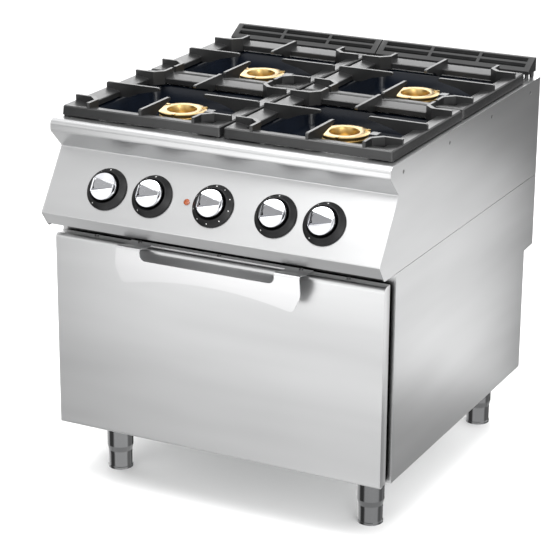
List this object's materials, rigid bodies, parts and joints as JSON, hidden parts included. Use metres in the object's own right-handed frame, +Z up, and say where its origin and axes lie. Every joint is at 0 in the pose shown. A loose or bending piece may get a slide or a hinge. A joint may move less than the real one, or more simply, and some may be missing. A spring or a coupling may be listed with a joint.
{
  "type": "commercial gas range",
  "caption": "Free-standing restaurant range with open gas burners on cast-iron pan supports over an oven with a drop-down door, on adjustable legs.",
  "frame": {"origin": "on the floor under the middle of the casing's footprint", "axes": "+X right as seen from the front, +Y towards the back, +Z up; the door and the knobs face -Y"},
  "size_m": [0.8, 0.9, 0.89],
  "materials": {
    "stainless": "brushed, fine grain",
    "galvanised": "galvanised sheet, dull",
    "oven_enamel": "vitreous enamel, dark",
    "mineral_wool": "mineral wool batt",
    "oven_steel": "plain steel, satin",
    "chromed_wire": "bright wire",
    "heater_sheath": "dark heat-tinted sheath",
    "thermostat": "plated",
    "gasket": "woven black seal",
    "black_enamel": "glossy blue-black enamel",
    "brass": "turned and polished",
    "burner_casting": "as cast, fine",
    "pilot_steel": "bright",
    "pipe_steel": "plated pipe",
    "copper_pipe": "drawn copper",
    "dial_black": "satin black, white marks",
    "lamp_amber": "clear amber",
    "leg_steel": "drawn tube, satin",
    "screw_steel": "stainless screw",
    "gland_black": "black nylon",
    "cast_iron": "matt enamelled cast iron",
    "knob_chrome": "polished chrome"
  },
  "bodies": {
    "casing": {"worktop": "stainless", "upper_side_left": "stainless", "upper_side_right": "stainless", "control_panel": "stainless", "lower_side_left": "stainless", "lower_side_right": "stainless", "front_frame": "stainless", "upper_back": "galvanised", "lower_back": "galvanised", "base_plate": "galvanised", "flue_duct": "galvanised", "oven_liner": "oven_enamel", "oven_insulation": "mineral_wool", "oven_floor_plate": "oven_steel", "hinge_arms": "oven_steel", "rack_guides": "chromed_wire", "oven_shelf": "chromed_wire", "oven_heaters": "heater_sheath", "oven_thermostat": "thermostat", "door_gasket": "gasket", "drip_basins": "black_enamel", "burner_crown_1": "brass", "burner_crown_2": "brass", "burner_crown_3": "brass", "burner_crown_4": "brass", "gas_valves": "brass", "burner_bodies": "burner_casting", "pilot_burners": "pilot_steel", "gas_manifold": "pipe_steel", "feed_pipes": "copper_pipe", "dial_bezels": "dial_black", "lamp_lens": "lamp_amber", "leg_sleeves": "leg_steel", "side_screws": "screw_steel", "cable_gland": "gland_black"},
    "spindle_1": {"valve_spindle_1": "brass"},
    "knob_1": {"gas_knob_1": "knob_chrome"},
    "support_1": {"pan_support_1": "cast_iron"},
    "leveller_1": {"foot_1": "leg_steel"},
    "spindle_2": {"valve_spindle_2": "brass"},
    "knob_2": {"gas_knob_2": "knob_chrome"},
    "support_2": {"pan_support_2": "cast_iron"},
    "leveller_2": {"foot_2": "leg_steel"},
    "spindle_3": {"valve_spindle_3": "brass"},
    "knob_3": {"gas_knob_3": "knob_chrome"},
    "support_3": {"pan_support_3": "cast_iron"},
    "leveller_3": {"foot_3": "leg_steel"},
    "spindle_4": {"valve_spindle_4": "brass"},
    "knob_4": {"gas_knob_4": "knob_chrome"},
    "support_4": {"pan_support_4": "cast_iron"},
    "leveller_4": {"foot_4": "leg_steel"},
    "oven_dial": {"oven_knob": "knob_chrome"},
    "door": {"door_outer_panel": "stainless", "door_inner_panel": "oven_steel", "door_insulation": "mineral_wool", "door_handle": "stainless", "door_hinge_brackets": "oven_steel", "door_screws": "screw_steel"},
    "flue_left": {"flue_grille_left": "cast_iron"},
    "flue_right": {"flue_grille_right": "cast_iron"}
  },
  "joints": [
    {"name": "door_hinge", "type": "hinge", "parent": "casing", "child": "door", "pos_m": [0, -0.386, 0.152], "axis": [1, 0, 0], "range_deg": [0, 90], "stiffness_Nm_per_rad": 30, "springref_deg": -28.65},
    {"name": "knob_1_turn", "type": "hinge", "parent": "casing", "child": "spindle_1", "pos_m": [-0.2575, -0.40852, 0.70728], "axis": [0, -0.8281, 0.5606], "range_deg": [0, 180]},
    {"name": "knob_1_push", "type": "slide", "parent": "spindle_1", "child": "knob_1", "axis": [0, 0.8281, -0.5606], "range_m": [0, 0.0035], "stiffness_N_per_m": 1500, "springref_m": -0.002},
    {"name": "knob_2_turn", "type": "hinge", "parent": "casing", "child": "spindle_2", "pos_m": [-0.1465, -0.40852, 0.70728], "axis": [0, -0.8281, 0.5606], "range_deg": [0, 180]},
    {"name": "knob_2_push", "type": "slide", "parent": "spindle_2", "child": "knob_2", "axis": [0, 0.8281, -0.5606], "range_m": [0, 0.0035], "stiffness_N_per_m": 1500, "springref_m": -0.002},
    {"name": "knob_3_turn", "type": "hinge", "parent": "casing", "child": "spindle_3", "pos_m": [0.1465, -0.40852, 0.70728], "axis": [0, -0.8281, 0.5606], "range_deg": [0, 180]},
    {"name": "knob_3_push", "type": "slide", "parent": "spindle_3", "child": "knob_3", "axis": [0, 0.8281, -0.5606], "range_m": [0, 0.0035], "stiffness_N_per_m": 1500, "springref_m": -0.002},
    {"name": "knob_4_turn", "type": "hinge", "parent": "casing", "child": "spindle_4", "pos_m": [0.2575, -0.40852, 0.70728], "axis": [0, -0.8281, 0.5606], "range_deg": [0, 180]},
    {"name": "knob_4_push", "type": "slide", "parent": "spindle_4", "child": "knob_4", "axis": [0, 0.8281, -0.5606], "range_m": [0, 0.0035], "stiffness_N_per_m": 1500, "springref_m": -0.002},
    {"name": "oven_knob_turn", "type": "hinge", "parent": "casing", "child": "oven_dial", "pos_m": [0, -0.40852, 0.70728], "axis": [0, 0.8281, -0.5606], "range_deg": [0, 270]},
    {"name": "support_1_lift", "type": "slide", "parent": "casing", "child": "support_1", "axis": [0, 0, 1], "range_m": [0, 0.12]},
    {"name": "support_2_lift", "type": "slide", "parent": "casing", "child": "support_2", "axis": [0, 0, 1], "range_m": [0, 0.12]},
    {"name": "support_3_lift", "type": "slide", "parent": "casing", "child": "support_3", "axis": [0, 0, 1], "range_m": [0, 0.12]},
    {"name": "support_4_lift", "type": "slide", "parent": "casing", "child": "support_4", "axis": [0, 0, 1], "range_m": [0, 0.12]},
    {"name": "flue_left_lift", "type": "slide", "parent": "casing", "child": "flue_left", "axis": [0, 0, 1], "range_m": [0, 0.12]},
    {"name": "flue_right_lift", "type": "slide", "parent": "casing", "child": "flue_right", "axis": [0, 0, 1], "range_m": [0, 0.12]},
    {"name": "foot_1_screw", "type": "slide", "parent": "casing", "child": "leveller_1", "axis": [0, 0, -1], "range_m": [0, 0.05]},
    {"name": "foot_2_screw", "type": "slide", "parent": "casing", "child": "leveller_2", "axis": [0, 0, -1], "range_m": [0, 0.05]},
    {"name": "foot_3_screw", "type": "slide", "parent": "casing", "child": "leveller_3", "axis": [0, 0, -1], "range_m": [0, 0.05]},
    {"name": "foot_4_screw", "type": "slide", "parent": "casing", "child": "leveller_4", "axis": [0, 0, -1], "range_m": [0, 0.05]}
  ]
}
